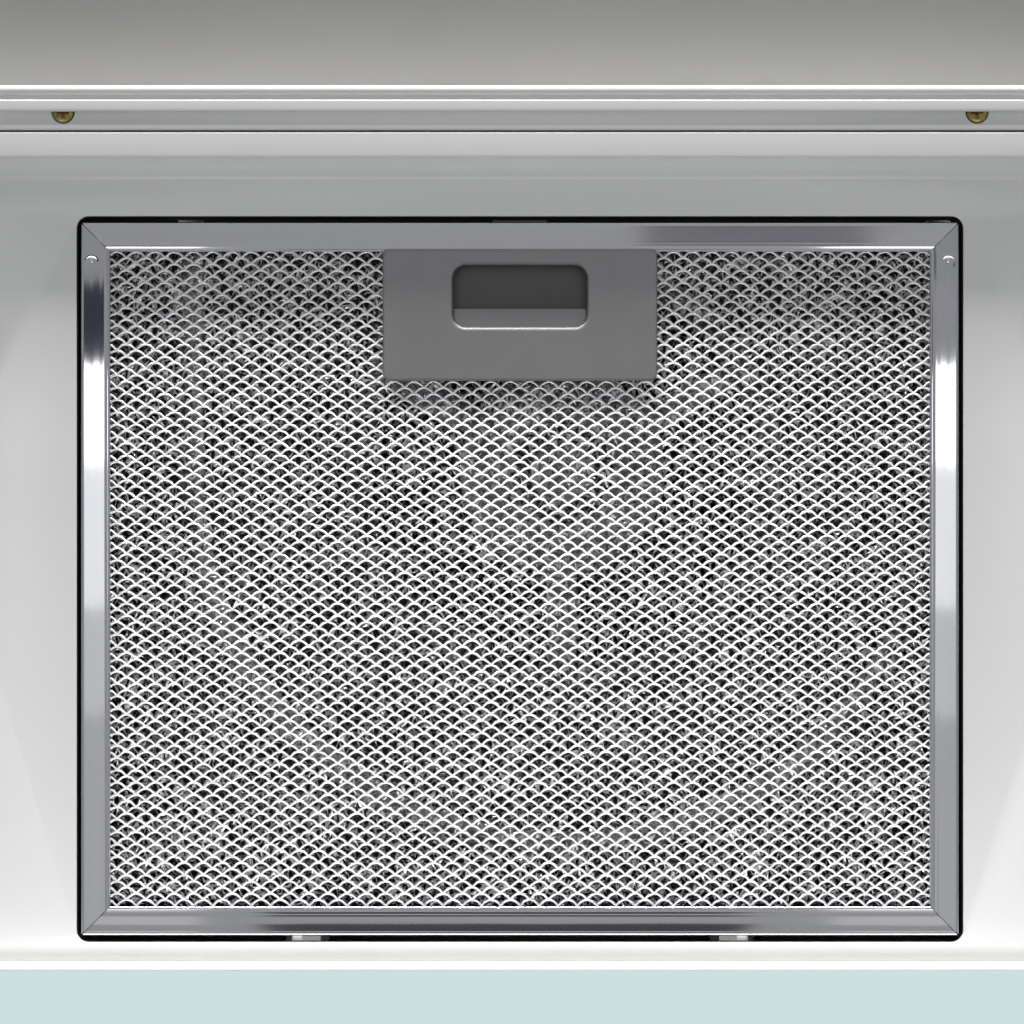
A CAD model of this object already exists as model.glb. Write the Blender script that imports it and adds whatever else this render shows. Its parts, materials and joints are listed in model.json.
# %% [markdown]
# # A slide-out kitchen hood, seen from below
# The hood's structure comes ready-made as a fixed frame: every panel, runner and shaft stands at its
# real place, in metres. This lesson gives it its looks. Some pieces only need a good finish. Others,
# such as the woven grease filter, are modelled here and stand in for the plain solid of the frame.

# %% Load the frame
import json
import math

import bmesh
import bpy
import numpy as np
from mathutils import Matrix, Vector


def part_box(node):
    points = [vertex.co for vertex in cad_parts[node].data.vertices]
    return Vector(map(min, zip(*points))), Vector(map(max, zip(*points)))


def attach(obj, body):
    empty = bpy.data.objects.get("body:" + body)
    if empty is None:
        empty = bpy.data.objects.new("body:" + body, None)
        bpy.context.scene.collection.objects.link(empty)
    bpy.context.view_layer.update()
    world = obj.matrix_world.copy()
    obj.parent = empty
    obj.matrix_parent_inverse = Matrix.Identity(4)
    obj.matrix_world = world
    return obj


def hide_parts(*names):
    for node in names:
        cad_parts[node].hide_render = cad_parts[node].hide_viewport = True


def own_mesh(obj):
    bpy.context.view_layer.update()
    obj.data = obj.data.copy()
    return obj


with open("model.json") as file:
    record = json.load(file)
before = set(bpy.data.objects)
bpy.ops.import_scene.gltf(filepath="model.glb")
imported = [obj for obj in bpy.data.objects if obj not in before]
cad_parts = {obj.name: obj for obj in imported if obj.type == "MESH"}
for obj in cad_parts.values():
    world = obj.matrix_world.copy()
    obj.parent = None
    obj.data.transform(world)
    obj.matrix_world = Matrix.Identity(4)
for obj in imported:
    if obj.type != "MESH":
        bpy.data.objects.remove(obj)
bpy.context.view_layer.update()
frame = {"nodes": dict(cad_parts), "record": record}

MM = 0.001
BODY_OF = {node: body for body, nodes in frame["record"]["behaviour"]["bodies"].items() for node in nodes}
SLOT_OF = {row["node"]: row["material_slot"] for row in frame["record"]["subparts"]}

# %% [markdown]
# ## Working by hand, in code
# Blender's operators act on whatever is selected, and loading leaves things selected. So each piece
# starts with nothing selected, and faces are then chosen in code, by where they are or which way
# they point. These few helpers are the whole tool box.


# %% Selection helpers
def deselect():
    """Leaves nothing selected and nothing active."""
    for thing in bpy.context.selected_objects:
        thing.select_set(False)
    bpy.context.view_layer.objects.active = None


def only(thing):
    deselect()
    thing.select_set(True)
    bpy.context.view_layer.objects.active = thing


def edit(thing):
    only(thing)
    bpy.ops.object.mode_set(mode="EDIT")


def edit_all(thing):
    edit(thing)
    bpy.ops.mesh.select_all(action="SELECT")


def leave():
    bpy.ops.object.mode_set(mode="OBJECT")


def pick(thing, wanted, kind="FACE"):
    """In edit mode, selects just the faces, edges or vertices for which wanted(element) is true."""
    bpy.ops.mesh.select_mode(type=kind)
    bpy.ops.mesh.select_all(action="DESELECT")
    mesh = bmesh.from_edit_mesh(thing.data)
    elements = {"FACE": mesh.faces, "EDGE": mesh.edges, "VERT": mesh.verts}[kind]
    count = 0
    for element in elements:
        if wanted(element):
            element.select_set(True)
            count += 1
    mesh.select_flush_mode()
    bmesh.update_edit_mesh(thing.data)
    return count


# %% Finishing helpers
def applied(thing, kind, **settings):
    """Adds a modifier and applies it at once."""
    only(thing)
    modifier = thing.modifiers.new(kind.title(), kind)
    for key, value in settings.items():
        setattr(modifier, key, value)
    bpy.ops.object.modifier_apply(modifier=modifier.name)
    return thing


def settle(thing):
    """Puts the place, turn and size of an object into its mesh."""
    only(thing)
    bpy.ops.object.transform_apply(location=True, rotation=True, scale=True)
    return thing


def smooth(thing, degrees=35):
    only(thing)
    bpy.ops.object.shade_smooth_by_angle(angle=math.radians(degrees))
    return thing


def bevelled(thing, width, segments=2):
    return applied(thing, "BEVEL", width=width, segments=segments, limit_method="ANGLE")


def outward(thing):
    """Merges doubles and makes every face point outwards."""
    edit_all(thing)
    bpy.ops.mesh.remove_doubles(threshold=1e-6)
    bpy.ops.mesh.normals_make_consistent(inside=False)
    leave()
    return thing


def corners(node):
    """The lowest and the highest corner of a frame node."""
    return [Vector(corner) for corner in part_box(node)]

def joined(name, things):
    """One object out of several."""
    deselect()
    for thing in things:
        thing.select_set(True)
    bpy.context.view_layer.objects.active = things[0]
    if len(things) > 1:
        bpy.ops.object.join()
    things[0].name = name
    things[0].data.name = name
    return things[0]


def block(name, low, high):
    """A box from its lowest to its highest corner, to be shaped further."""
    deselect()
    middle = [(a + b) / 2 for a, b in zip(low, high)]
    bpy.ops.mesh.primitive_cube_add(size=1, location=middle)
    thing = bpy.context.active_object
    thing.name = name
    thing.scale = [b - a for a, b in zip(low, high)]
    return settle(thing)


def drawn(name, points, edges=(), faces=()):
    """An object from a list of points and the edges or faces between them."""
    mesh = bpy.data.meshes.new(name)
    mesh.from_pydata(points, edges, faces)
    thing = bpy.data.objects.new(name, mesh)
    bpy.context.collection.objects.link(thing)
    return thing


def turned(name, profile, centre, steps=96, axis="Z"):
    """A closed outline of (radius, height) points in mm, turned once round an axis as in a lathe."""
    points = []
    for radius, height in profile:
        out, up = radius * MM, height * MM
        step = {"X": (up, out, 0), "Y": (out, up, 0), "Z": (out, 0, up)}[axis]
        points.append([at + by for at, by in zip(centre, step)])
    count = len(points)
    thing = drawn(name, points, [(i, (i + 1) % count) for i in range(count)])
    edit_all(thing)
    spin_axis = {"X": (1, 0, 0), "Y": (0, 1, 0), "Z": (0, 0, 1)}[axis]
    bpy.ops.mesh.spin(steps=steps, angle=math.tau, center=centre, axis=spin_axis)
    leave()
    return outward(thing)

# %% [markdown]
# ## Shared effects
# Three effects come back in nearly every finish, so each is a node group with its own knobs:
# a fine height grain, an uneven tone, and an uneven gloss. Their outputs only carry what changes over
# the surface. Plain numbers stay on the shader itself.


# %% Node group helpers
FLOAT = "NodeSocketFloat"
COLOR = "NodeSocketColor"
VECTOR = "NodeSocketVector"


def wired(source, output, target, socket):
    """Links an output of one node to an input of another."""
    source.id_data.links.new(source.outputs[output], target.inputs[socket])


def dial(node, values):
    """Sets plain numbers and colours on a node's own sockets."""
    for socket, value in values.items():
        node.inputs[socket].default_value = value


def new_group(name, knobs, output, kind, detail):
    """A group with one output and a noise in object coordinates, which two more knobs size."""
    tree = bpy.data.node_groups.new(name, "ShaderNodeTree")
    for label, sort, value in (*knobs, ("Scale", FLOAT, 30.0), ("Stretch", VECTOR, (1, 1, 1))):
        socket = tree.interface.new_socket(name=label, in_out="INPUT", socket_type=sort)
        socket.default_value = value
    tree.interface.new_socket(name=output, in_out="OUTPUT", socket_type=kind)
    start = tree.nodes.new("NodeGroupInput")
    end = tree.nodes.new("NodeGroupOutput")
    stretch = tree.nodes.new("ShaderNodeVectorMath")
    stretch.operation = "MULTIPLY"
    noise = tree.nodes.new("ShaderNodeTexNoise")
    noise.inputs["Detail"].default_value = detail
    wired(tree.nodes.new("ShaderNodeTexCoord"), "Object", stretch, 0)
    wired(start, "Stretch", stretch, 1)
    wired(stretch, "Vector", noise, "Vector")
    wired(start, "Scale", noise, "Scale")
    return tree, start, noise, end


# %% Grain: fine height
def build_grain():
    tree, start, noise, end = new_group("grain", (), "Height", FLOAT, detail=2)
    wired(noise, "Fac", end, "Height")
    return tree


# %% Tone: uneven colour
def build_tone():
    shades = (("Light", COLOR, (0.8, 0.8, 0.8, 1)), ("Dark", COLOR, (0.7, 0.7, 0.7, 1)))
    knobs = (*shades, ("Contrast", FLOAT, 1.0))
    tree, start, noise, end = new_group("tone", knobs, "Color", COLOR, detail=4)
    centred = tree.nodes.new("ShaderNodeMath")
    centred.operation = "SUBTRACT"
    centred.inputs[1].default_value = 0.5
    spread = tree.nodes.new("ShaderNodeMath")
    spread.operation = "MULTIPLY_ADD"
    spread.use_clamp = True
    spread.inputs[2].default_value = 0.5
    mix = tree.nodes.new("ShaderNodeMix")
    mix.data_type = "RGBA"
    wired(noise, "Fac", centred, 0)
    wired(centred, 0, spread, 0)
    wired(start, "Contrast", spread, 1)
    wired(spread, 0, mix, "Factor")
    tree.links.new(start.outputs["Dark"], mix.inputs["A"])
    tree.links.new(start.outputs["Light"], mix.inputs["B"])
    tree.links.new(mix.outputs["Result"], end.inputs["Color"])
    return tree


# %% Gloss: uneven roughness
def build_gloss():
    knobs = (("Low", FLOAT, 0.3), ("High", FLOAT, 0.4))
    tree, start, noise, end = new_group("gloss", knobs, "Roughness", FLOAT, detail=3)
    spread = tree.nodes.new("ShaderNodeMapRange")
    spread.interpolation_type = "SMOOTHSTEP"
    dial(spread, {"From Min": 0.22, "From Max": 0.78})
    wired(noise, "Fac", spread, "Value")
    wired(start, "Low", spread, "To Min")
    wired(start, "High", spread, "To Max")
    wired(spread, "Result", end, "Roughness")
    return tree


GROUPS = {"grain": build_grain(), "tone": build_tone(), "gloss": build_gloss()}
print("shared effects:", ", ".join(GROUPS))
print("shared effects:", ", ".join(GROUPS))


# %% A finish from the shared effects
EVEN = (1, 1, 1)
DRAWN_X = (0.02, 1, 1)
DRAWN_Y = (1, 0.02, 1)
USUAL = (25, 1.6)
FINISHES = {}


def use(tree, name, **values):
    node = tree.nodes.new("ShaderNodeGroup")
    node.node_tree = GROUPS[name]
    dial(node, values)
    return node


def finish(name, light, dark, rough, metal, tone=USUAL, grains=(), coat=0.0, along=EVEN):
    """A painted, plated or moulded finish. Its tone is (scale, contrast), and each of its grains is
    (scale, height in mm, stretch)."""
    material = bpy.data.materials.new(name)
    material.use_nodes = True
    tree = material.node_tree
    shader = tree.nodes["Principled BSDF"]
    dial(shader, {"Metallic": metal, "Coat Weight": coat, "Coat Roughness": 0.2})
    patches = {"Scale": tone[0], "Contrast": tone[1], "Stretch": along}
    wired(use(tree, "tone", Light=(*light, 1), Dark=(*dark, 1), **patches), "Color", shader, "Base Color")
    gloss = use(tree, "gloss", Low=rough[0], High=rough[1], Scale=tone[0] * 1.7, Stretch=along)
    wired(gloss, "Roughness", shader, "Roughness")
    bumps = []
    for scale, height, stretch in grains:
        bump = tree.nodes.new("ShaderNodeBump")
        bump.inputs["Distance"].default_value = height * MM
        wired(use(tree, "grain", Scale=scale, Stretch=stretch), "Height", bump, "Height")
        if bumps:
            wired(bumps[-1], "Normal", bump, "Normal")
        bumps.append(bump)
    if bumps:
        wired(bumps[-1], "Normal", shader, "Normal")
    return material


def add_finishes(metal, rows):
    """Each row is a name, a light and a dark colour, roughness from and to, then tone and grains."""
    for name, light, dark, rough, *rest in rows:
        FINISHES[name] = finish(name, light, dark, rough, metal, *rest)


# %% [markdown]
# ## The finishes
# The body is stove enamelled: nearly white, a little grey, with the slight orange peel of sprayed
# paint. It is made from a tone and a gloss that hardly vary, and two grains, one of a few
# millimetres and one much wider, for the waves of thin sheet.

# %% Painted finishes
PAINT_GRAINS = ((300, 0.010, EVEN), (9, 0.2, EVEN))
DARK_GRAIN = ((700, 0.03, EVEN),)
add_finishes(0.0, (
    ("enamel", (0.82, 0.82, 0.81), (0.79, 0.79, 0.782), (0.29, 0.31), (14, 1.6), PAINT_GRAINS, 0.15),
    ("visor_paint", (0.47, 0.465, 0.455), (0.43, 0.425, 0.42), (0.28, 0.30), (9, 1.6), PAINT_GRAINS, 0.15),
    ("inside_paint", (0.030, 0.031, 0.033), (0.022, 0.023, 0.025), (0.5, 0.65), USUAL, DARK_GRAIN),
    ("motor_paint", (0.05, 0.055, 0.06), (0.035, 0.038, 0.042), (0.35, 0.5), USUAL, DARK_GRAIN),
))

# %% [markdown]
# Bare metals differ in how they were worked. Rolled channel has long faint draw lines, zinc plate
# has a dull patchwork, spun rings shine evenly. All but the dull pocket are full metals; only tone,
# gloss and the direction of the grain change.

# %% Metal finishes
CHANNEL_X = ((500, 0.006, DRAWN_X), (16, 0.5, (0.5, 1, 1)))
CHANNEL_Y = ((500, 0.006, DRAWN_Y), (16, 0.3, (1, 0.3, 1)))
SATIN = ((1500, 0.012, EVEN),)
TURNED = ((600, 0.01, (1, 1, 0.05)),)
WHITISH = (0.94, 0.94, 0.945)
add_finishes(1.0, (
    ("galvanised", (0.62, 0.64, 0.66), (0.42, 0.44, 0.46), (0.28, 0.5), (90, 3.0), ((300, 0.02, EVEN),)),
    ("bright_ring", (0.86, 0.87, 0.88), (0.74, 0.75, 0.77), (0.22, 0.36), (40, 1.5)),
    ("frame_x", (0.88, 0.88, 0.90), (0.78, 0.78, 0.805), (0.06, 0.11), (60, 1.4), CHANNEL_X, 0, DRAWN_X),
    ("frame_y", (0.74, 0.745, 0.775), (0.64, 0.645, 0.68), (0.035, 0.07), (60, 1.4), CHANNEL_Y, 0, DRAWN_Y),
    ("strand", WHITISH, (0.82, 0.82, 0.83), (0.46, 0.60), (400, 2.0), ((2500, 0.03, EVEN),)),
    ("foil", (0.97, 0.97, 0.975), (0.86, 0.86, 0.87), (0.16, 0.30), (500, 3.0), ((1800, 0.06, EVEN),)),
    ("filter_plate", (0.40, 0.40, 0.405), (0.36, 0.36, 0.365), (0.46, 0.54), (30, 1.4), SATIN),
    ("brass_screw", (0.52, 0.40, 0.16), (0.26, 0.20, 0.08), (0.22, 0.38), (500, 2.5), ((1500, 0.02, EVEN),)),
    ("zinc_screw", (0.66, 0.67, 0.68), (0.46, 0.47, 0.49), (0.25, 0.4), (300, 2.0), ((1500, 0.015, EVEN),)),
    ("chrome_bezel", (0.88, 0.885, 0.89), (0.83, 0.835, 0.84), (0.05, 0.1), (60, 1.0)),
    ("shaft_steel", (0.64, 0.64, 0.65), (0.5, 0.5, 0.51), (0.18, 0.3), (200, 1.5), TURNED),
    ("spring_steel", (0.6, 0.6, 0.61), (0.48, 0.48, 0.5), (0.2, 0.32), (400, 1.5)),
))
add_finishes(0.6, (("pocket", (0.16, 0.16, 0.163), (0.13, 0.13, 0.133), (0.5, 0.6), (30, 1.4), SATIN),))

# %% [markdown]
# The moulded pieces carry a fine spark-eroded grain, and their gloss sets nylon, polypropylene and
# rubber apart.

# %% Moulded finishes
MOULDED = (USUAL, ((1400, 0.03, EVEN),))
add_finishes(0.0, (
    ("lamp_body", (0.035, 0.035, 0.037), (0.025, 0.025, 0.027), (0.45, 0.6), *MOULDED),
    ("fan_plastic", (0.03, 0.03, 0.033), (0.02, 0.02, 0.022), (0.35, 0.5), *MOULDED),
    ("housing_plastic", (0.055, 0.058, 0.062), (0.04, 0.042, 0.046), (0.42, 0.58), *MOULDED),
    ("grey_plastic", (0.42, 0.43, 0.44), (0.37, 0.38, 0.39), (0.4, 0.52), *MOULDED),
    ("button_plastic", (0.70, 0.71, 0.72), (0.66, 0.67, 0.68), (0.18, 0.26), USUAL, ((900, 0.006, EVEN),)),
    ("indicator", (0.60, 0.05, 0.03), (0.45, 0.03, 0.02), (0.12, 0.2), USUAL, (), 0.5),
    ("rubber", (0.022, 0.022, 0.022), (0.014, 0.014, 0.014), (0.65, 0.8), USUAL, ((900, 0.05, EVEN),)),
    ("black_plastic", (0.022, 0.022, 0.024), (0.015, 0.015, 0.017), (0.38, 0.55), *MOULDED),
    ("frosted_lens", (0.80, 0.81, 0.82), (0.74, 0.75, 0.76), (0.35, 0.45), USUAL, ((1600, 0.05, EVEN),), 0.3),
))
FINISHES["filter_frame"] = FINISHES["frame_x"]
FINISHES["filter_mesh"] = FINISHES["strand"]


def wear(thing, name):
    """Gives a piece one finish all over."""
    thing.data.materials.clear()
    thing.data.materials.append(FINISHES[name])


for node, thing in frame["nodes"].items():
    wear(thing, SLOT_OF[node])
print(len(FINISHES), "finishes")

# %% [markdown]
# ## Softened sheet metal
# A pressed or folded sheet never has a razor edge. The frame's solids do, so light doesn't catch
# on them. For those whose shape is right, a copy is made, its loose triangles are merged back
# into whole faces, and a small bevel rounds its sharp edges.


# %% Standing for the frame's nodes
def stand_for(thing, look, *nodes):
    """The piece wears this finish, rides with the nodes' body, takes their slot and hides them."""
    wear(thing, look)
    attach(thing, BODY_OF[nodes[0]])
    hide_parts(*nodes)
    print(thing.name, "has", len(thing.data.polygons), "faces, for", ", ".join(nodes))


def softened(node, width, look=None):
    """A copy of a frame node with rounded edges, which stands for it."""
    piece = frame["nodes"][node].copy()
    piece.data = piece.data.copy()
    piece.parent = None
    bpy.context.collection.objects.link(piece)
    piece.name = f"{node}_soft"
    piece.data.name = piece.name
    edit_all(piece)
    bpy.ops.mesh.customdata_custom_splitnormals_clear()
    bpy.ops.mesh.remove_doubles(threshold=1e-6)
    bpy.ops.mesh.dissolve_limited(angle_limit=math.radians(0.5))
    leave()
    limits = {"limit_method": "ANGLE", "angle_limit": math.radians(30)}
    applied(piece, "BEVEL", width=width, segments=2, use_clamp_overlap=False, **limits)
    stand_for(smooth(piece), look or SLOT_OF[node], node)

# %% [markdown]
# ## The face of the grease filter
# The face is expanded aluminium: slit sheet pulled open, so that every strand runs from one knot to
# the next and the holes look like fish scales, round at the front and pointed at the rear. One
# repeat has four strands. It is drawn once by extruding a small section along each strand, then an
# array copies it, and the whole sheet is made a little uneven, as stretched metal is. It is made in
# two halves, so that neither gets too heavy.

# %% One strand
MESH_PITCH_X = 7.0 * MM
MESH_PITCH_Y = 4.5 * MM
MESH_MARGIN = 1.5 * MM
mesh_low = corners("filter_mesh_face")[0]
filter_low, member_high = corners("filter_frame_front")
filter_high = Vector((member_high.x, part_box("filter_frame_rear")[1][1], member_high.z))
MEMBER = member_high.y - filter_low.y


def strand(start, end, width, height, bow, steps, sides):
    """A bowed strand from start to end. Its section is a lozenge or a three-sided ridge."""
    along = Vector(end) - Vector(start)
    side = Vector((-along.y, along.x, 0)).normalized() * width / 2
    if sides == 4:
        section = [side, Vector((0, 0, height / 2)), -side, Vector((0, 0, -height / 2))]
    else:
        section = [side, -side, Vector((0, 0, -height))]
    deselect()
    bpy.ops.mesh.primitive_circle_add(vertices=sides, radius=width / 2, fill_type="NOTHING")
    thing = bpy.context.active_object
    for vertex, place in zip(thing.data.vertices, section):
        vertex.co = Vector(start) + place
    edit_all(thing)
    for step in range(steps):
        lean = bow * (math.sin(math.pi * (step + 1) / steps) - math.sin(math.pi * step / steps))
        move = along / steps + Vector((0, -lean, 0))
        bpy.ops.mesh.extrude_edges_move(TRANSFORM_OT_translate={"value": move})
    leave()
    return thing


# %% One repeat of the pattern
def mesh_repeat(name, pitch_x, pitch_y, width, height, bow, steps, sides):
    """The four strands round one knot, two of them bowed towards the front."""
    half = (pitch_x / 2, pitch_y / 2)
    runs = (
        ((0, 0, 0), (half[0], -half[1], 0)),
        ((half[0], -half[1], 0), (pitch_x, 0, 0)),
        ((0, 0, 0), (half[0], half[1], 0)),
        ((half[0], half[1], 0), (pitch_x, 0, 0)),
    )
    return joined(name, [strand(a, b, width, height, bow, steps, sides) for a, b in runs])


def mesh_sheet(name, repeat, pitch, counts, start):
    """Copies one repeat over counts[0] by counts[1] places, the first of them at start."""
    settings = {"use_relative_offset": False, "use_constant_offset": True}
    applied(repeat, "ARRAY", count=counts[0], constant_offset_displace=(pitch[0], 0, 0), **settings)
    applied(repeat, "ARRAY", count=counts[1], constant_offset_displace=(0, pitch[1], 0), **settings)
    repeat.location = start
    repeat.name = name
    return settle(repeat)


def counted(low, high, pitch):
    """How many repeats fit from low to high, and where the first one starts."""
    counts = [int((high[axis] - low[axis]) / pitch[axis]) for axis in (0, 1)]
    spare = [(high[axis] - low[axis] - counts[axis] * pitch[axis]) / 2 for axis in (0, 1)]
    return counts, (low[0] + spare[0], low[1] + spare[1] + pitch[1] / 2)


def loosen(thing, sway, rise, seed):
    """Uneven stretch: whole strands shift together, so each place is moved by a smooth wave."""
    count = len(thing.data.vertices)
    places = np.empty(count * 3)
    thing.data.vertices.foreach_get("co", places)
    places = places.reshape(count, 3)
    rng = np.random.default_rng(seed)
    for _ in range(14):
        wave = rng.uniform(150, 1900, 2) * rng.choice((-1, 1), 2)
        phase = places[:, 0] * wave[0] + places[:, 1] * wave[1] + rng.uniform(0, math.tau)
        push = rng.normal(0, 1, 2)
        places[:, 0] += sway * push[0] * np.sin(phase) / 4
        places[:, 1] += sway * push[1] * np.sin(phase) / 4
        places[:, 2] += rise * rng.normal() * np.cos(phase) / 4
    thing.data.vertices.foreach_set("co", places.reshape(-1))
    thing.data.update()
    return thing


# %% [markdown]
# The handle's cup sits in a hole of the mesh. Instead of a boolean on a hundred thousand faces, the
# faces that lie inside the cup's rectangle are picked and deleted.


# %% A hole for the handle
cup_low, cup_high = corners("filter_handle")
POCKET_HALF = 25.55 * MM
CUP_FRONT = cup_low.y + 4.2 * MM
CUP_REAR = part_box("latch_slider")[1][1] + 6.3 * MM


def clear_cup(thing, room):
    """Deletes what would stand inside the cup of the handle, or within room of it."""

    def inside(face):
        middle = face.calc_center_median()
        return abs(middle.x) < POCKET_HALF + room and CUP_FRONT - room < middle.y < CUP_REAR + room

    edit(thing)
    pick(thing, inside)
    bpy.ops.mesh.delete(type="FACE")
    leave()
    return thing


# %% The face, in a front and a rear half
MESH_LEVEL = mesh_low.z + 0.55 * MM
area_low = Vector((filter_low.x + MEMBER - MESH_MARGIN, filter_low.y + MEMBER - MESH_MARGIN, 0))
area_high = Vector((filter_high.x - MEMBER + MESH_MARGIN, filter_high.y - MEMBER + MESH_MARGIN, 0))
mesh_pitch = (MESH_PITCH_X, MESH_PITCH_Y)
(across, deep), (start_x, start_y) = counted(area_low, area_high, mesh_pitch)
halves = (("front", 0, deep // 2), ("rear", deep // 2, deep - deep // 2))
for end, first_row, rows in halves:
    repeat = mesh_repeat("repeat", *mesh_pitch, 0.84 * MM, 0.52 * MM, 0.62 * MM, 4, 4)
    start = (start_x, start_y + first_row * MESH_PITCH_Y, MESH_LEVEL)
    half_sheet = mesh_sheet(f"mesh_face_{end}", repeat, mesh_pitch, (across, rows), start)
    loosen(half_sheet, 0.10 * MM, 0.08 * MM, seed=11)
    clear_cup(half_sheet, 0.5 * MM)
    smooth(outward(half_sheet), 50)
    stand_for(half_sheet, "strand", "filter_mesh_face")

# %% [markdown]
# ## The foil behind the face
# The grease is caught by several layers of much finer foil, laid over each other at random. Seen
# through the face they are a glitter of thin bright ribbons with black between. Three layers are
# enough: each has a pitch and a bow of its own, and is shaken far more than the face.

# %% Foil layers
FOIL_LAYERS = (
    # pitch x, pitch y, width, height, bow, sway, rise, level above the face, seed
    (3.3, 5.4, 0.40, 0.45, -0.5, 0.8, 0.25, 0.95, 3),
    (5.2, 3.7, 0.40, 0.50, 0.6, 1.2, 0.35, 1.9, 5),
    (3.9, 6.0, 0.42, 0.55, -0.4, 1.4, 0.35, 3.0, 8),
)
for index, (pitch_x, pitch_y, width, height, bow, sway, rise, lift, seed) in enumerate(FOIL_LAYERS, start=1):
    foil_pitch = (pitch_x * MM, pitch_y * MM)
    repeat = mesh_repeat("foil", *foil_pitch, width * MM, height * MM, bow * MM, 2, 3)
    counts, corner = counted(area_low, area_high, foil_pitch)
    layer = mesh_sheet(f"foil_layer_{index}", repeat, foil_pitch, counts, (*corner, MESH_LEVEL + lift * MM))
    loosen(layer, sway * MM, rise * MM, seed)
    clear_cup(layer, 3.5 * MM)
    outward(layer)
    stand_for(layer, "foil", "filter_mesh_core")

# %% [markdown]
# ## The filter's frame
# Four lengths of thin aluminium channel are folded round the mesh and mitred at the corners. The
# section has a slightly crowned face, a rounded outer corner, and a hem that shows as a bright line
# along the mesh. It is drawn once and extruded along X or Y, its ends are slanted by moving every
# end point by its distance from the outer edge, and last it gets its thickness. The side members are
# staked to the mesh near the front corners: a punch leaves a small round dent in the face.

# %% Section of the channel
CHANNEL_SHEET = 0.7 * MM
MITRE_GAP = 0.16 * MM
STAKE_INSET = 4.2 * MM
STAKE_BACK = 15.0 * MM
STAKE_RADIUS = 2.6 * MM
STAKE_DEPTH = 0.5 * MM


def channel_section(width, depth, crown):
    """Points (across from the outer edge, up from the face), from the top flange to the hem."""
    bend = 1.0 * MM
    hem = 0.9 * MM
    points = [(width - 1.5 * MM, depth), (bend, depth)]
    for step in range(1, 4):
        angle = math.radians(90 + 30 * step)
        points.append((bend + bend * math.cos(angle), depth - bend + bend * math.sin(angle)))
    for step in range(1, 4):
        angle = math.radians(180 + 30 * step)
        points.append((bend + bend * math.cos(angle), bend + bend * math.sin(angle)))
    flat = (1.35 * MM, width - 3.2 * MM)
    for step in range(13):
        share = step / 12
        points.append((flat[0] + (flat[1] - flat[0]) * share, crown * (2 * share - 1) ** 2))
    points.append((width - 2.4 * MM, -0.08 * MM))
    for step in range(0, 7):
        angle = math.radians(-90 + 30 * step)
        points.append((width - hem + hem * math.cos(angle), hem + hem * math.sin(angle)))
    return points


# %% One mitred member
def frame_member(name, node, corner, run, inward, length, crown, look):
    """A member from corner along run, with its width towards inward. A side member has a dent."""
    inset = CHANNEL_SHEET / 2
    depth = filter_high.z - filter_low.z - CHANNEL_SHEET
    section = channel_section(MEMBER - inset, depth, crown)
    corner = Vector(corner) + Vector((0, 0, inset))
    run = Vector(run)
    inward = Vector(inward)
    staked = look == "frame_y"
    points = [corner + inward * (across + inset) + Vector((0, 0, up)) for across, up in section]
    thing = drawn(name, points, [(i, i + 1) for i in range(len(points) - 1)])
    edit_all(thing)
    fine = [STAKE_BACK + 0.5 * MM * step for step in range(-6, 7)] if staked else []
    stops = [0.0, *fine, length]
    for near, far in zip(stops, stops[1:]):
        bpy.ops.mesh.extrude_edges_move(TRANSFORM_OT_translate={"value": run * (far - near)})
    leave()
    for vertex in thing.data.vertices:
        place = vertex.co - corner
        across, along = place.dot(inward), place.dot(run)
        if along < 0.1 * MM:
            vertex.co += run * (across + MITRE_GAP)
        if along > length - 0.1 * MM:
            vertex.co -= run * (across + MITRE_GAP)
        reach = math.hypot(across - STAKE_INSET, along - STAKE_BACK) / STAKE_RADIUS
        if staked and reach < 1 and place.z < 0.2 * MM:
            vertex.co.z += STAKE_DEPTH * (0.5 + 0.5 * math.cos(math.pi * reach))
    edit_all(thing)
    bpy.ops.mesh.normals_make_consistent(inside=False)
    leave()
    applied(thing, "SOLIDIFY", thickness=CHANNEL_SHEET, offset=0)
    smooth(outward(thing), 40)
    stand_for(thing, look, node)


# %% All four members
WIDTH = filter_high.x - filter_low.x
LENGTH = filter_high.y - filter_low.y
level = filter_low.z
front_left = (filter_low.x, filter_low.y, level)
rear_left = (filter_low.x, filter_high.y, level)
front_right = (filter_high.x, filter_low.y, level)
members = (
    # side, corner it starts at, run, towards the mesh, length, crown of its face in mm, finish
    ("front", front_left, (1, 0, 0), (0, 1, 0), WIDTH, 0.012, "frame_x"),
    ("rear", rear_left, (1, 0, 0), (0, -1, 0), WIDTH, 0.09, "frame_x"),
    ("left", front_left, (0, 1, 0), (1, 0, 0), LENGTH, 0.03, "frame_y"),
    ("right", front_right, (0, 1, 0), (-1, 0, 0), LENGTH, 0.03, "frame_y"),
)
for side, corner, run, inward, length, crown, look in members:
    names = (f"channel_{side}", f"filter_frame_{side}")
    frame_member(*names, corner, run, inward, length, crown * MM, look)

# %% [markdown]
# ## The handle plate
# A pressed satin plate is tucked under the front member. It has a pocket for two fingers, with a
# drawn edge, and a cup above it. In the pocket's rear lies the lip of the latch. The plate is one
# skin through a row of rounded outlines, from its own edge in to the drawn edge of the pocket, and
# it gets its thickness last. The cup is a box with its lower side open.

# %% Outline of a rounded rectangle
def rounded_outline(low_x, low_y, high_x, high_y, radius, steps=6):
    """Points round a rectangle with round corners, starting at its low corner."""
    corners = ((high_x - radius, low_y + radius, -90), (high_x - radius, high_y - radius, 0),
               (low_x + radius, high_y - radius, 90), (low_x + radius, low_y + radius, 180))
    points = []
    for x, y, first in corners:
        for step in range(steps + 1):
            angle = math.radians(first + 90 * step / steps)
            points.append((x + radius * math.cos(angle), y + radius * math.sin(angle)))
    return points


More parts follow.
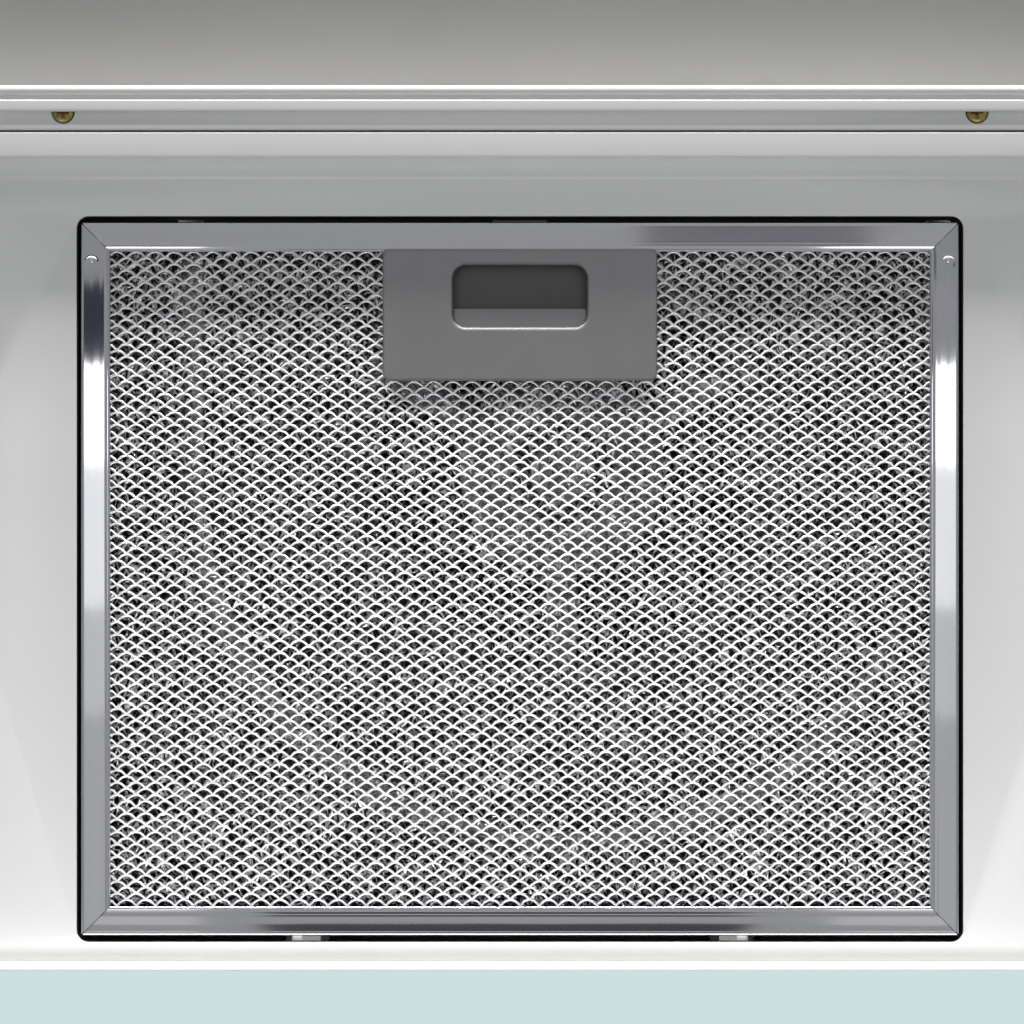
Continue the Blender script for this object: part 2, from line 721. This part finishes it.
def lofted(name, outlines):
    """A skin through a list of (outline, level), all with the same number of points."""
    count = len(outlines[0][0])
    points = [(x, y, level) for outline, level in outlines for x, y in outline]
    faces = []
    for row in range(len(outlines) - 1):
        low, high = row * count, (row + 1) * count
        faces += [(low + i, low + (i + 1) % count, high + (i + 1) % count, high + i) for i in range(count)]
    return drawn(name, points, faces=faces)


# %% The pressed plate and its cup
PLATE_FACE = cup_low.z
PLATE_BEND = 2.0 * MM
POCKET_X = 24.75 * MM
POCKET_Y0 = cup_low.y + 5.0 * MM
POCKET_Y1 = POCKET_Y0 + 23.2 * MM
POCKET_BEND = 5.0 * MM
CUP_TOP = cup_high.z


def plate_outline(inset):
    low = (cup_low.x + inset, cup_low.y - 0.3 * MM + inset)
    return rounded_outline(*low, cup_high.x - inset, cup_high.y - inset, PLATE_BEND)


def pocket_outline(growth):
    low = (-POCKET_X - growth, POCKET_Y0 - growth)
    return rounded_outline(*low, POCKET_X + growth, POCKET_Y1 + growth, POCKET_BEND + growth)


plate = lofted(
    "handle_plate",
    [
        (plate_outline(0), PLATE_FACE + 0.35 * MM),
        (plate_outline(0.15 * MM), PLATE_FACE + 0.1 * MM),
        (plate_outline(0.45 * MM), PLATE_FACE),
        (plate_outline(0.6 * MM), PLATE_FACE),
        (pocket_outline(1.3 * MM), PLATE_FACE),
        (pocket_outline(1.1 * MM), PLATE_FACE),
        (pocket_outline(0.6 * MM), PLATE_FACE + 0.12 * MM),
        (pocket_outline(0.2 * MM), PLATE_FACE + 0.45 * MM),
        (pocket_outline(0), PLATE_FACE + 1.0 * MM),
        (pocket_outline(0), PLATE_FACE + 1.6 * MM),
    ],
)
outward(applied(plate, "SOLIDIFY", thickness=0.5 * MM, offset=-1))
cup_foot = (-POCKET_HALF, CUP_FRONT + 0.1 * MM, PLATE_FACE + 1.2 * MM)
cup = block("cup", cup_foot, (POCKET_HALF, CUP_REAR, CUP_TOP))
edit(cup)
pick(cup, lambda face: face.normal.z < -0.5)
bpy.ops.mesh.delete(type="FACE")
leave()
applied(cup, "SOLIDIFY", thickness=0.6 * MM, offset=-1)
applied(cup, "BEVEL", width=0.5 * MM, segments=2, use_clamp_overlap=False, limit_method="ANGLE")
stand_for(smooth(plate), "filter_plate", "filter_handle")
CEILING = 15.05 * MM
SHELF_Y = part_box("latch_slider")[1][1] - 14.5 * MM
ceiling_low = (-POCKET_HALF + 0.7 * MM, CUP_FRONT + 0.8 * MM, CEILING)
ceiling = block("ceiling", ceiling_low, (POCKET_HALF - 0.7 * MM, SHELF_Y + 6 * MM, CEILING + 0.3 * MM))
handle = smooth(joined("handle_cup", [cup, ceiling]))
stand_for(handle, "pocket", "filter_handle")

# %% [markdown]
# The latch's lip is what the fingers feel: a folded tab at the rear of the pocket. The frame's solid
# has the right shape, so it only gets soft edges.

# %% The latch and the tongues
softened("latch_slider", 0.35 * MM)
softened("filter_tongues", 0.25 * MM)

# %% [markdown]
# The latch is sprung by a small coil. A circle of wire is swept along a helix by a screw modifier,
# which turns it and lifts it at the same time. A sliding latch presses the coil together, so the
# piece is squashed towards the end that stays put.

# %% The latch spring
spring_low, spring_high = corners("latch_spring")
spring_middle = (spring_low + spring_high) / 2
COIL_TURNS = 6
WIRE = 0.22 * MM


def coil_spring():
    radius = (spring_high.x - spring_low.x) / 2 - WIRE
    length = spring_high.y - spring_low.y - 2 * WIRE
    upright = (math.pi / 2, 0, 0)
    deselect()
    bpy.ops.mesh.primitive_circle_add(vertices=8, radius=WIRE, fill_type="NOTHING", rotation=upright)
    wire = bpy.context.active_object
    wire.name = "latch_coil"
    settle(wire)
    for vertex in wire.data.vertices:
        vertex.co.x += radius
    turns = {"iterations": COIL_TURNS, "screw_offset": length / COIL_TURNS, "angle": math.tau}
    applied(wire, "SCREW", steps=20, render_steps=20, **turns)
    wire.rotation_euler = (-math.pi / 2, 0, 0)
    wire.location = (spring_middle.x, spring_low.y + WIRE, spring_middle.z)
    settle(wire)
    edit(wire)
    pick(wire, lambda edge: edge.is_boundary, "EDGE")
    bpy.ops.mesh.edge_face_add()
    leave()
    return smooth(outward(wire), 60)


spring = coil_spring()
stand_for(spring, "spring_steel", "latch_spring")
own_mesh(spring)

# %% [markdown]
# ## Pan, rail and panels
# These are folded enamelled sheet. Soft copies of the frame's solids give each fold a small
# radius, which is what draws the bright lines along the lip and the rail.

# %% Softened sheet metal pieces
SOFT_EDGES = {
    # radius of the edges in mm: the nodes that have it
    0.18: ("front_rail_screws",),
    0.3: ("rear_panel", "top_plate", "visor_sheet", "control_plate"),
    0.35: ("side_panel_left", "side_panel_right", "fixed_runner_left", "fixed_runner_right"),
    0.38: ("front_rail",),
    0.4: ("bracket_screws", "fascia", "fascia_cap_left", "fascia_cap_right", "blower_ring", "motor_screws"),
    0.42: ("underside_pan",),
    0.5: ("visor_rail_left", "visor_rail_right", "switch_module", "motor_bracket", "fan_nut"),
    0.6: ("hanging_bracket_left", "hanging_bracket_right", "visor_switch"),
    0.8: ("runner_stops",),
}
for width, nodes in SOFT_EDGES.items():
    for node in nodes:
        softened(node, width * MM, "visor_paint" if node == "visor_sheet" else None)

# %% [markdown]
# ## Pieces that go round
# Bezels, cans and collars are turned. Fan blades, ribs, bosses and screws repeat round a centre, so
# one is made and the others are turned copies of it.


# %% Copies round a centre
def round_copies(name, piece, centre, angles):
    """Copies of a piece turned by each angle (in degrees) round an upright line, joined into one."""
    home = Matrix.Translation(Vector(centre))
    copies = []
    for angle in angles:
        copy = piece.copy()
        copy.data = piece.data.copy()
        bpy.context.collection.objects.link(copy)
        copy.data.transform(home @ Matrix.Rotation(math.radians(angle), 4, "Z") @ home.inverted())
        copies.append(copy)
    bpy.data.objects.remove(piece)
    return joined(name, copies)


def middle_of(node):
    low, high = corners(node)
    return (low + high) / 2


def extra(thing, look):
    """A small piece that stands for no node. It rides the chassis, in the slot of its finish."""
    wear(thing, look)
    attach(thing, "chassis")
    print(thing.name, "has", len(thing.data.polygons), "faces")


# %% [markdown]
# ## Lamps
# A lamp is a chromed bezel, a frosted lens that bulges a little, and a ribbed can above the pan.

# %% Lamp profiles
LAMP_PARTS = {
    "bezel": (
        (25.2, 2), (25.2, 0.8), (25.7, 0.3), (26.8, 0.0), (28.6, 0.05), (30.2, 0.5), (31, 1.4), (31, 2),
    ),
    "lens": ((0, 0), (12, 0.03), (20, 0.14), (23.4, 0.4), (24.6, 0.9), (24.9, 1.5), (0, 1.5)),
    "housing": (
        (24.6, 0.1), (26.5, 0.1), (26.6, 0.6), (26.6, 3.0), (25.8, 3.4), (25.8, 5.0), (26.4, 5.3),
        (26.4, 6.3), (25.8, 6.6), (25.8, 8.2), (26.4, 8.5), (26.4, 9.5), (25.6, 9.9), (24.4, 12.5),
        (23.2, 13.0), (0, 13.0), (0, 12.2), (22.8, 12.2), (24.0, 9.5), (24.6, 8.9),
    ),
}
for side in ("left", "right"):
    for kind, profile in LAMP_PARTS.items():
        node = f"lamp_{kind}_{side}"
        middle = middle_of(node)
        piece = turned(f"{node}_turned", profile, (middle.x, middle.y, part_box(node)[0][2]))
        stand_for(smooth(piece), SLOT_OF[node], node)

# %% [markdown]
# ## Controls
# Each button is a dished key: its edges are rounded, then its front is inset three times, each time
# a little deeper.

# %% Buttons and indicator
BUTTONS = ("button_light", "button_speed_low", "button_speed_medium", "button_speed_high")
for node in BUTTONS:
    button = bevelled(block(f"{node}_key", *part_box(node)), 1.1 * MM, 3)
    edit(button)
    pick(button, lambda face: face.normal.y < -0.99)
    for border, push in ((0.9, 0.10), (1.2, 0.28), (1.5, 0.12)):
        bpy.ops.mesh.inset(thickness=border * MM, depth=-push * MM)
    leave()
    stand_for(smooth(button, 40), SLOT_OF[node], node)
lens_middle = middle_of("indicator_lens")
lens_foot = (lens_middle.x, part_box("indicator_lens")[0][1], lens_middle.z)
LED = ((0, 0), (0.9, 0.1), (1.5, 0.45), (1.85, 1.0), (2.0, 1.7), (2.0, 4.5), (0, 4.5))
led = turned("indicator_dome", LED, lens_foot, steps=32, axis="Y")
stand_for(smooth(led), "indicator", "indicator_lens")

# %% [markdown]
# ## The blower
# The housing is a moulded drum. Its ribs and screw bosses are short bevelled blocks and turned pegs
# set round its axis. The wheel inside is a squirrel cage: a back plate, a front rim and forty
# forward-curved blades.

# %% Housing
softened("blower_housing", 0.9 * MM)
shell_low, shell_high = corners("blower_housing")
RADIUS = (shell_high.x - shell_low.x) / 2
axis_spot = Vector(((shell_low.x + shell_high.x) / 2, shell_high.y - RADIUS, shell_low.z))


def rib(length, start, width, height, foot):
    """A bevelled bar that points outwards from the blower's axis."""
    low = (axis_spot.x + start, axis_spot.y - width / 2, foot)
    high = (low[0] + length, axis_spot.y + width / 2, foot + height)
    return bevelled(block("rib", low, high), 0.35 * MM, 1)


roof = shell_high.z
top_rib = rib(28 * MM, 90 * MM, 2 * MM, 1.4 * MM, roof - 0.3 * MM)
top_ribs = round_copies("top_ribs", top_rib, axis_spot, range(0, 360, 30))
wall_rib = rib(1.5 * MM, RADIUS - 0.3 * MM, 2.4 * MM, roof - shell_low.z - 12 * MM, shell_low.z + 3 * MM)
wall_ribs = round_copies("wall_ribs", wall_rib, axis_spot, range(0, 181, 20))
BOSS = ((0, 0), (6.2, 0), (6.2, 0.8), (5.6, 4.6), (5.0, 5.0), (0, 5.0))
HEAD = ((0, 0), (3.6, 0), (3.6, 0.9), (3.0, 1.7), (1.6, 2.1), (1.5, 1.4), (0, 1.4))
SCREW_ANGLES = (0, 45, 90, 135, 180)
boss_spot = axis_spot + Vector((RADIUS + 4.5 * MM, 0, 0.02 * MM))
boss = smooth(turned("boss", BOSS, boss_spot, steps=24))
bosses = round_copies("bosses", boss, axis_spot, SCREW_ANGLES)
extra(joined("housing_ribs", [top_ribs, wall_ribs, bosses]), "housing_plastic")
head = smooth(turned("screw_head", HEAD, boss_spot + Vector((0, 0, 4.98 * MM)), steps=20))
extra(round_copies("housing_screws", head, axis_spot, SCREW_ANGLES), "zinc_screw")

# %% Wheel
wheel_low, wheel_high = corners("fan_wheel")
hub = (middle_of("fan_wheel").x, middle_of("fan_wheel").y)
TALL = (wheel_high.z - wheel_low.z) / MM
BLADES = 40


def blade_outline():
    """The two sides of a curved blade, seen from above, from its inner to its outer edge."""
    outer_side, inner_side = [], []
    for step in range(7):
        share = step / 6
        radius = (84 + 15.2 * share) * MM
        angle = math.radians(5.6 * share**1.7)
        for side, shift in ((outer_side, 0.0), (inner_side, 0.8 * MM)):
            turn = angle + shift / radius
            side.append((hub[0] + radius * math.cos(turn), hub[1] + radius * math.sin(turn)))
    return outer_side + inner_side[::-1]


outline = blade_outline()
foot = [(x, y, wheel_low.z + 1.5 * MM) for x, y in outline]
blade = drawn("blade", foot, faces=[list(range(len(foot)))])
edit_all(blade)
bpy.ops.mesh.extrude_region_move(TRANSFORM_OT_translate={"value": (0, 0, (TALL - 3) * MM)})
leave()
outward(blade)
blades = round_copies("blades", blade, (*hub, 0), [360 * i / BLADES for i in range(BLADES)])
PLATE = (
    (4.1, TALL - 22), (13, TALL - 22), (14.2, TALL - 21), (15, TALL - 4), (22, TALL - 2.4), (98, TALL - 2.2),
    (99.8, TALL - 1.6), (100, TALL - 0.6), (99.4, TALL), (16, TALL), (12, TALL), (4.1, TALL),
)
RIM = ((94, 0.4), (95, 0), (99.4, 0), (100, 0.6), (100, 3), (99, 3.6), (95, 2.2), (94, 1.6))
spinner = [blades]
for profile in (PLATE, RIM):
    spinner.append(turned("wheel_part", profile, (*hub, wheel_low.z), steps=120))
wheel = smooth(joined("fan_cage", spinner))
stand_for(wheel, "fan_plastic", "fan_wheel")

# %% [markdown]
# The motor is a pressed can with rolled beads. Its lower end carries an aluminium cap with twelve
# louvres, the brightest thing that shows through the filter.

# %% Motor
can_low = Vector(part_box("motor_can")[0])
MOTOR = (
    (4.3, 0.2), (12, 0.2), (36.5, 0.2), (40, 1.6), (41.2, 4.5), (41.2, 9.5), (42, 9.9), (42, 12),
    (41.2, 12.4), (41.2, 31.6), (42, 32), (42, 34.1), (41.2, 34.5), (41.2, 39.5), (40, 42.4),
    (36.5, 43.8), (16, 44), (4.3, 44),
)
cap_spot = Vector((*hub, can_low.z))
motor = smooth(turned("motor_can_turned", MOTOR, cap_spot))
stand_for(motor, "motor_paint", "motor_can")
CAP = ((4.3, -0.5), (10, -0.5), (11.5, -0.2), (13, 0.1), (13, 0.4), (4.3, 0.4))
cap = smooth(turned("motor_cap", CAP, cap_spot))
LOUVRE = (Vector((23, -1.9, -0.9)), Vector((35, 1.9, 0.3)))
louvre = bevelled(block("louvre", *[cap_spot + corner * MM for corner in LOUVRE]), 0.5 * MM)
louvres = round_copies("louvres", louvre, cap_spot, range(15, 360, 30))
extra(smooth(joined("motor_cap", [cap, louvres])), "bright_ring")

# %% Collar and flaps
collar_middle = middle_of("outlet_collar")
COLLAR = (
    (58.5, 0), (67.6, 0), (68, 0.4), (68, 1.1), (67.6, 1.5), (61.2, 1.5), (60.3, 1.9), (60, 2.8), (60, 17.5),
    (59.6, 18.3), (59.6, 19.7), (60, 20.5), (60, 59.2), (59.7, 61.2), (59.3, 62), (58.9, 62), (58.5, 61.4),
)
collar_foot = (collar_middle.x, collar_middle.y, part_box("outlet_collar")[0][2])
collar = smooth(turned("collar_turned", COLLAR, collar_foot, steps=128))
stand_for(collar, SLOT_OF["outlet_collar"], "outlet_collar")
for node in ("damper_flap_left", "damper_flap_right"):
    softened(node, 0.25 * MM)

# %% [markdown]
# ## Electrics on the roof
# The terminal box has a screwed cover, a gland for the supply cord, and beside it lies the motor's
# run capacitor, a plastic can with a rolled end and two blade terminals, held by a strap.

# %% Terminal box
softened("terminal_box", 0.7 * MM)
softened("terminal_box_cover", 0.6 * MM)
cover_low, cover_high = corners("terminal_box_cover")
COVER_INSET = 7 * MM
cover_screws = []
for x in (cover_low.x + COVER_INSET, cover_high.x - COVER_INSET):
    for y in (cover_low.y + COVER_INSET, cover_high.y - COVER_INSET):
        spot = (x, y, cover_high.z - 0.05 * MM)
        cover_screws.append(smooth(turned("cover_screw", HEAD, spot, steps=20)))
extra(joined("cover_screws", cover_screws), "zinc_screw")

# %% Gland
gland_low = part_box("cable_gland")[0]
gland_middle = middle_of("cable_gland")
gland_foot = (gland_middle.x, gland_low[1], gland_middle.z)
DOME_NUT = ((4, 0.2), (5.6, 0), (7.0, 1.0), (7.6, 2.6), (7.6, 8.6), (4, 8.6))
HEX_NUT = ((4, 8.6), (8.0, 8.6), (9.0, 9.3), (9.0, 13.3), (8.5, 14), (4, 14))
dome = turned("dome_nut", DOME_NUT, gland_foot, steps=48, axis="Y")
hexagon = turned("hex_nut", HEX_NUT, gland_foot, steps=6, axis="Y")
gland = smooth(joined("gland_turned", [dome, hexagon]))
stand_for(gland, SLOT_OF["cable_gland"], "cable_gland")

# %% Capacitor
cell_low, cell_high = corners("run_capacitor")
cell_middle = middle_of("run_capacitor")
cell_foot = (cell_low.x, cell_middle.y, cell_middle.z)
CELL = (
    (0, 0), (13.6, 0), (15.2, 0.6), (16, 1.8), (16, 48.6), (15.2, 50.2), (14.4, 50.4), (13.8, 49.6),
    (13.4, 48.8), (0, 48.8),
)
STRAP = ((16, 19), (16.4, 19), (16.6, 19.4), (16.6, 30.6), (16.4, 31), (16, 31))
cell = [turned("cell", CELL, cell_foot, steps=64, axis="X")]
for shift in (-6, 6):
    low = (cell_low.x + 48.6 * MM, cell_middle.y + (shift - 0.4) * MM, cell_middle.z - 3.1 * MM)
    high = (cell_high.x, cell_middle.y + (shift + 0.4) * MM, cell_middle.z + 3.1 * MM)
    cell.append(bevelled(block("terminal", low, high), 0.15 * MM, 1))
cell = smooth(joined("capacitor_turned", cell))
stand_for(cell, SLOT_OF["run_capacitor"], "run_capacitor")
strap = smooth(turned("capacitor_strap", STRAP, cell_foot, steps=64, axis="X"))
extra(strap, "galvanised")

# %% [markdown]
# ## Inside the hood
# The air chamber above the filter is painted dark, so that the holes of the filter look black. The
# roof and the pan keep their outer finish: only the faces that look into the chamber change.

# %% Dark chamber
PAN_INSIDE = 10.6 * MM


def faces_chamber(face):
    """True for the pan's upper faces, and for its upright ones above the rim of the opening."""
    return face.normal.z > 0.5 or (abs(face.normal.z) < 0.3 and face.center.z > PAN_INSIDE)


CHAMBER = {"top_plate_soft": lambda face: face.normal.z < -0.5, "underside_pan_soft": faces_chamber}
for name, looks_inside in CHAMBER.items():
    thing = bpy.data.objects[name]
    thing.data.materials.append(FINISHES["inside_paint"])
    for face in thing.data.polygons:
        if looks_inside(face):
            face.material_index = 1

# %% [markdown]
# ## Stage
# The camera is 0.6 m under the filter and looks straight up, with the front of the hood at the top
# of its view. The floor is pale, and it glows a little, because the room's light isn't all modelled.
# It shows only its upper side, so views from below it aren't blocked.

# %% Camera
VIEW_WIDTH = 372.3 * MM
VIEW_DISTANCE = 0.6
FILTER_MIDDLE_Y = (filter_low.y + filter_high.y) / 2
camera_data = bpy.data.cameras.new("camera")
camera_data.sensor_width = 36
camera_data.lens = camera_data.sensor_width * VIEW_DISTANCE / VIEW_WIDTH
camera_data.clip_start = 0.01
camera = bpy.data.objects.new("camera", camera_data)
camera.location = (-2.9 * MM, FILTER_MIDDLE_Y - 24.4 * MM, filter_low.z - VIEW_DISTANCE)
camera.rotation_euler = (math.pi, 0, 0)
bpy.context.collection.objects.link(camera)
bpy.context.scene.camera = camera
print("camera lens", round(camera_data.lens, 1), "mm")


# %% World and colour
def mixed(tree, share, first, second):
    """A mix of two shaders. Its share of the second is an output, given as (node, name)."""
    mix = tree.nodes.new("ShaderNodeMixShader")
    wired(*share, mix, "Fac")
    wired(first, 0, mix, 1)
    wired(second, 0, mix, 2)
    return mix


world = bpy.data.worlds.new("world")
bpy.context.scene.world = world
world.use_nodes = True
tree = world.node_tree
backdrop = tree.nodes["Background"]
dial(backdrop, {"Color": (0.60, 0.745, 0.752, 1), "Strength": 1.0})
glow = tree.nodes.new("ShaderNodeBackground")
dial(glow, {"Color": (0.80, 0.81, 0.82, 1), "Strength": 0.10})
seen_by = (tree.nodes.new("ShaderNodeLightPath"), "Is Camera Ray")
wired(mixed(tree, seen_by, glow, backdrop), 0, tree.nodes["World Output"], "Surface")
bpy.context.scene.view_settings.view_transform = "Standard"


# %% Floor
FLOOR_LEVEL = -0.95


def stage_plane(name, size, place, color):
    """A flat sheet of one dull colour that belongs to the stage, not to the hood."""
    deselect()
    bpy.ops.mesh.primitive_plane_add(size=1, location=place)
    plane = bpy.context.active_object
    plane.name = name
    plane.scale = (size[0], size[1], 1)
    settle(plane)
    material = bpy.data.materials.new(name)
    material.use_nodes = True
    dial(material.node_tree.nodes["Principled BSDF"], {"Base Color": (*color, 1), "Roughness": 0.8})
    plane.data.materials.append(material)
    return plane


floor = stage_plane("floor", (9, 9), (0, 0, FLOOR_LEVEL), (0.72, 0.73, 0.73))
tree = floor.data.materials[0].node_tree
paint = tree.nodes["Principled BSDF"]
dial(paint, {"Emission Color": (0.97, 0.98, 1.0, 1), "Emission Strength": 0.25})
pale = tree.nodes.new("ShaderNodeEmission")
dial(pale, {"Color": (0.68, 0.69, 0.70, 1)})
seen_by = (tree.nodes.new("ShaderNodeLightPath"), "Is Camera Ray")
from_below = (tree.nodes.new("ShaderNodeNewGeometry"), "Backfacing")
upper = mixed(tree, seen_by, paint, pale)
both = mixed(tree, from_below, upper, tree.nodes.new("ShaderNodeBsdfTransparent"))
wired(both, 0, tree.nodes["Material Output"], "Surface")

# %% [markdown]
# ## Light
# A kitchen's light comes from the worktop side: bright behind and below, dim in front where somebody
# stands. Polished channel shows only what it reflects, so its stripes are laid out on the floor: a few
# dark cards, and beside them four lamps in a row on each side, brightest in front of the middle and
# dimmer towards the rear. The camera sees none of them.


# %% Lamps and cards
def soft_light(name, place, aim, size, power, color=(1, 1, 1), seen=True):
    """A rectangular lamp at place that points at aim. Reflections don't see it if seen is False."""
    data = bpy.data.lights.new(name, "AREA")
    data.shape = "RECTANGLE"
    data.size, data.size_y = size
    data.energy = power
    data.color = color
    lamp = bpy.data.objects.new(name, data)
    lamp.location = place
    lamp.rotation_euler = (Vector(aim) - Vector(place)).to_track_quat("-Z", "Y").to_euler()
    lamp.visible_camera = False
    lamp.visible_glossy = seen
    bpy.context.collection.objects.link(lamp)
    return lamp


eye = camera.location
CARD_LEVEL = FLOOR_LEVEL + 0.02
CARDS = (
    # name, x from and to, y from and to (metres behind the camera), colour
    ("navy_left", (-0.62, -0.30), (-0.215, -0.138), (0.012, 0.014, 0.03)),
    ("dim_right", (0.30, 0.62), (-0.215, -0.175), (0.30, 0.30, 0.32)),
    ("grey_front", (0.12, 0.33), (-0.36, -0.215), (0.12, 0.12, 0.135)),
    ("grey_rear", (-0.24, 0.22), (0.385, 0.60), (0.06, 0.06, 0.07)),
)
for name, x_range, y_range, color in CARDS:
    size = (x_range[1] - x_range[0], y_range[1] - y_range[0])
    place = (sum(x_range) / 2, eye.y + sum(y_range) / 2, CARD_LEVEL)
    stage_plane(name, size, place, color).visible_camera = False

BANDS = (
    # from, to (metres behind the camera), radiance
    (-0.138, -0.045, 2.2),
    (-0.045, 0.090, 0.75),
    (0.090, 0.190, 0.35),
    (0.190, 0.400, 0.17),
)
BAND_WIDTH = 0.26
for first, last, radiance in BANDS:
    for side, x in (("left", -0.42), ("right", 0.42)):
        place = (x, eye.y + (first + last) / 2, CARD_LEVEL + 0.01)
        power = radiance * math.pi * BAND_WIDTH * (last - first)
        soft_light(f"band_{side}", place, (x, place[1], 0), (BAND_WIDTH, last - first), power)
REAR_TINT = (0.97, 0.99, 1.0)
soft_light("rear_edge", (0, 0.31, -0.10), (0, 0.14, 0), (0.7, 0.06), 0.34, REAR_TINT, seen=False)

# %% [markdown]
# Two long lamps stand low in front. Their light skims the underside, so the lip keeps it off the
# front of the pan and the rear is bright. They are kept off the visor's front face and the front
# channel, which they would meet nearly square on, and off the floor, which stays a quiet grey.


# %% Kept apart
def spare(lamp, things):
    """The lamp lights everything but these things."""
    spared = bpy.data.collections.new(f"{lamp.name}_spares")
    for thing in things:
        spared.objects.link(thing)
    for entry in spared.collection_objects:
        entry.light_linking.link_state = "EXCLUDE"
    lamp.light_linking.receiver_collection = spared


face_names = ["fascia_soft", "fascia_cap_left_soft", "fascia_cap_right_soft", "control_plate_soft"]
face_names += [f"{node}_key" for node in BUTTONS] + ["channel_front"]
front_face = [bpy.data.objects[name] for name in face_names]
for name, height, power in (("skim_low", -0.27, 72), ("skim_deep", -0.40, 82)):
    lamp = soft_light(name, (0, -2.4, height), (0, 0, height), (3.4, 0.12), power, (1.0, 0.99, 0.98))
    spare(lamp, front_face + [floor])

# %% [markdown]
# The weave is deep and drinks light, so it has a small lamp of its own behind it. The last three
# lamps stand above. They light the roof and the sides in the other views.

# %% A lamp for the woven face alone
rear_low = soft_light("rear_low", (0, 0.36, -0.10), (0, 0.10, 0), (0.9, 0.08), 0.65)
woven = bpy.data.collections.new("woven")
for name in ("mesh_face_front", "mesh_face_rear", "foil_layer_1", "foil_layer_2", "foil_layer_3"):
    woven.objects.link(bpy.data.objects[name])
rear_low.light_linking.receiver_collection = woven

# %% Light from above
ABOVE = (
    # name, place, height that it points at, size, watts
    ("key", (-1.2, -1.3, 1.5), 0.05, (1.2, 1.2), 24),
    ("fill", (1.6, -0.6, 1.0), 0.05, (1.0, 1.0), 12),
    ("rim", (0.6, 1.7, 1.3), 0.1, (1.2, 0.8), 15),
)
for name, place, height, size, power in ABOVE:
    spare(soft_light(name, place, (0, 0, height), size, power), [floor])
